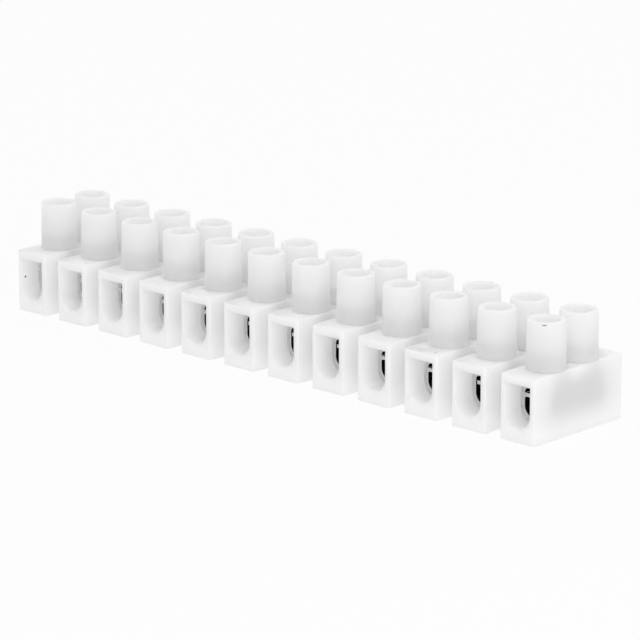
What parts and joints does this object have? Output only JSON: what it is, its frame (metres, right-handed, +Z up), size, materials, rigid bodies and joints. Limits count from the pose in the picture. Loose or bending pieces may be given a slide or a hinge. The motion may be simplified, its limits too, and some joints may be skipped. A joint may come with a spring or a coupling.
{
  "type": "screw connector strip",
  "caption": "Strip of joined screw connectors: a moulded white block with round screw towers, wire entries on both sides, folded metal terminals and slotted clamping screws.",
  "frame": {"origin": "middle of the underside, between the sixth and the seventh pole", "axes": "+X along the row of poles, +Y from the front wire entries to the rear ones, +Z up the screw towers"},
  "size_m": [0.1168, 0.0212, 0.0186],
  "materials": {
    "moulding": "translucent natural white polyethylene, satin",
    "terminal_metal": "bright plated steel strip",
    "screw_metal": "bright plated steel"
  },
  "bodies": {
    "housing": {"housing": "moulding", "terminal_1": "terminal_metal", "terminal_2": "terminal_metal", "terminal_3": "terminal_metal", "terminal_4": "terminal_metal", "terminal_5": "terminal_metal", "terminal_6": "terminal_metal", "terminal_7": "terminal_metal", "terminal_8": "terminal_metal", "terminal_9": "terminal_metal", "terminal_10": "terminal_metal", "terminal_11": "terminal_metal", "terminal_12": "terminal_metal"},
    "screw_front_1": {"screw_front_1": "screw_metal"},
    "screw_front_2": {"screw_front_2": "screw_metal"},
    "screw_front_3": {"screw_front_3": "screw_metal"},
    "screw_front_4": {"screw_front_4": "screw_metal"},
    "screw_front_5": {"screw_front_5": "screw_metal"},
    "screw_front_6": {"screw_front_6": "screw_metal"},
    "screw_front_7": {"screw_front_7": "screw_metal"},
    "screw_front_8": {"screw_front_8": "screw_metal"},
    "screw_front_9": {"screw_front_9": "screw_metal"},
    "screw_front_10": {"screw_front_10": "screw_metal"},
    "screw_front_11": {"screw_front_11": "screw_metal"},
    "screw_front_12": {"screw_front_12": "screw_metal"},
    "screw_rear_1": {"screw_rear_1": "screw_metal"},
    "screw_rear_2": {"screw_rear_2": "screw_metal"},
    "screw_rear_3": {"screw_rear_3": "screw_metal"},
    "screw_rear_4": {"screw_rear_4": "screw_metal"},
    "screw_rear_5": {"screw_rear_5": "screw_metal"},
    "screw_rear_6": {"screw_rear_6": "screw_metal"},
    "screw_rear_7": {"screw_rear_7": "screw_metal"},
    "screw_rear_8": {"screw_rear_8": "screw_metal"},
    "screw_rear_9": {"screw_rear_9": "screw_metal"},
    "screw_rear_10": {"screw_rear_10": "screw_metal"},
    "screw_rear_11": {"screw_rear_11": "screw_metal"},
    "screw_rear_12": {"screw_rear_12": "screw_metal"}
  },
  "joints": [
    {"name": "screw_front_1_travel", "type": "slide", "parent": "housing", "child": "screw_front_1", "axis": [0, 0, 1], "range_m": [-0.0023, 0.001]},
    {"name": "screw_front_2_travel", "type": "slide", "parent": "housing", "child": "screw_front_2", "axis": [0, 0, 1], "range_m": [-0.0023, 0.001]},
    {"name": "screw_front_3_travel", "type": "slide", "parent": "housing", "child": "screw_front_3", "axis": [0, 0, 1], "range_m": [-0.0023, 0.001]},
    {"name": "screw_front_4_travel", "type": "slide", "parent": "housing", "child": "screw_front_4", "axis": [0, 0, 1], "range_m": [-0.0023, 0.001]},
    {"name": "screw_front_5_travel", "type": "slide", "parent": "housing", "child": "screw_front_5", "axis": [0, 0, 1], "range_m": [-0.0023, 0.001]},
    {"name": "screw_front_6_travel", "type": "slide", "parent": "housing", "child": "screw_front_6", "axis": [0, 0, 1], "range_m": [-0.0023, 0.001]},
    {"name": "screw_front_7_travel", "type": "slide", "parent": "housing", "child": "screw_front_7", "axis": [0, 0, 1], "range_m": [-0.0023, 0.001]},
    {"name": "screw_front_8_travel", "type": "slide", "parent": "housing", "child": "screw_front_8", "axis": [0, 0, 1], "range_m": [-0.0023, 0.001]},
    {"name": "screw_front_9_travel", "type": "slide", "parent": "housing", "child": "screw_front_9", "axis": [0, 0, 1], "range_m": [-0.0023, 0.001]},
    {"name": "screw_front_10_travel", "type": "slide", "parent": "housing", "child": "screw_front_10", "axis": [0, 0, 1], "range_m": [-0.0023, 0.001]},
    {"name": "screw_front_11_travel", "type": "slide", "parent": "housing", "child": "screw_front_11", "axis": [0, 0, 1], "range_m": [-0.0023, 0.001]},
    {"name": "screw_front_12_travel", "type": "slide", "parent": "housing", "child": "screw_front_12", "axis": [0, 0, 1], "range_m": [-0.0023, 0.001]},
    {"name": "screw_rear_1_travel", "type": "slide", "parent": "housing", "child": "screw_rear_1", "axis": [0, 0, 1], "range_m": [-0.0023, 0.001]},
    {"name": "screw_rear_2_travel", "type": "slide", "parent": "housing", "child": "screw_rear_2", "axis": [0, 0, 1], "range_m": [-0.0023, 0.001]},
    {"name": "screw_rear_3_travel", "type": "slide", "parent": "housing", "child": "screw_rear_3", "axis": [0, 0, 1], "range_m": [-0.0023, 0.001]},
    {"name": "screw_rear_4_travel", "type": "slide", "parent": "housing", "child": "screw_rear_4", "axis": [0, 0, 1], "range_m": [-0.0023, 0.001]},
    {"name": "screw_rear_5_travel", "type": "slide", "parent": "housing", "child": "screw_rear_5", "axis": [0, 0, 1], "range_m": [-0.0023, 0.001]},
    {"name": "screw_rear_6_travel", "type": "slide", "parent": "housing", "child": "screw_rear_6", "axis": [0, 0, 1], "range_m": [-0.0023, 0.001]},
    {"name": "screw_rear_7_travel", "type": "slide", "parent": "housing", "child": "screw_rear_7", "axis": [0, 0, 1], "range_m": [-0.0023, 0.001]},
    {"name": "screw_rear_8_travel", "type": "slide", "parent": "housing", "child": "screw_rear_8", "axis": [0, 0, 1], "range_m": [-0.0023, 0.001]},
    {"name": "screw_rear_9_travel", "type": "slide", "parent": "housing", "child": "screw_rear_9", "axis": [0, 0, 1], "range_m": [-0.0023, 0.001]},
    {"name": "screw_rear_10_travel", "type": "slide", "parent": "housing", "child": "screw_rear_10", "axis": [0, 0, 1], "range_m": [-0.0023, 0.001]},
    {"name": "screw_rear_11_travel", "type": "slide", "parent": "housing", "child": "screw_rear_11", "axis": [0, 0, 1], "range_m": [-0.0023, 0.001]},
    {"name": "screw_rear_12_travel", "type": "slide", "parent": "housing", "child": "screw_rear_12", "axis": [0, 0, 1], "range_m": [-0.0023, 0.001]}
  ]
}
